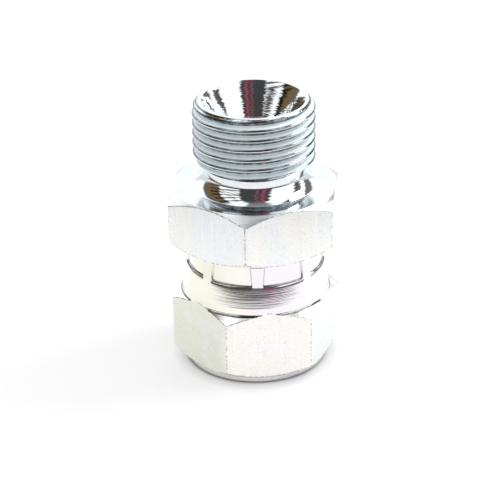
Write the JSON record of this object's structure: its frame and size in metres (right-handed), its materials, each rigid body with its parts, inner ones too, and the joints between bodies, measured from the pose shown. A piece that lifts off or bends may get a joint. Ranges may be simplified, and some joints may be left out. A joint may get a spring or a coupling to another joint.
{
  "type": "hydraulic swivel adapter fitting",
  "caption": "Straight steel pipe adapter with a male thread and cone seat at one end and a crimped female swivel nut at the other.",
  "frame": {"origin": "centre of the nut's open face, on the thread axis, which is the centre of the bottom of the part's box", "axes": "+Z along the thread axis towards the male end; +X through two corners of the body's hexagon"},
  "size_m": [0.0278, 0.0244, 0.0412],
  "materials": {
    "plated_body": "bright zinc plate, blue passivated",
    "plated_nut": "bright zinc plate, faintly iridescent"
  },
  "bodies": {
    "body": {"hex_body": "plated_body"},
    "nut": {"swivel_nut": "plated_nut"}
  },
  "joints": [
    {"name": "nut_swivel", "type": "hinge", "parent": "body", "child": "nut", "pos_m": [0, 0, 0.0146], "axis": [0, 0, 1], "continuous": true}
  ]
}
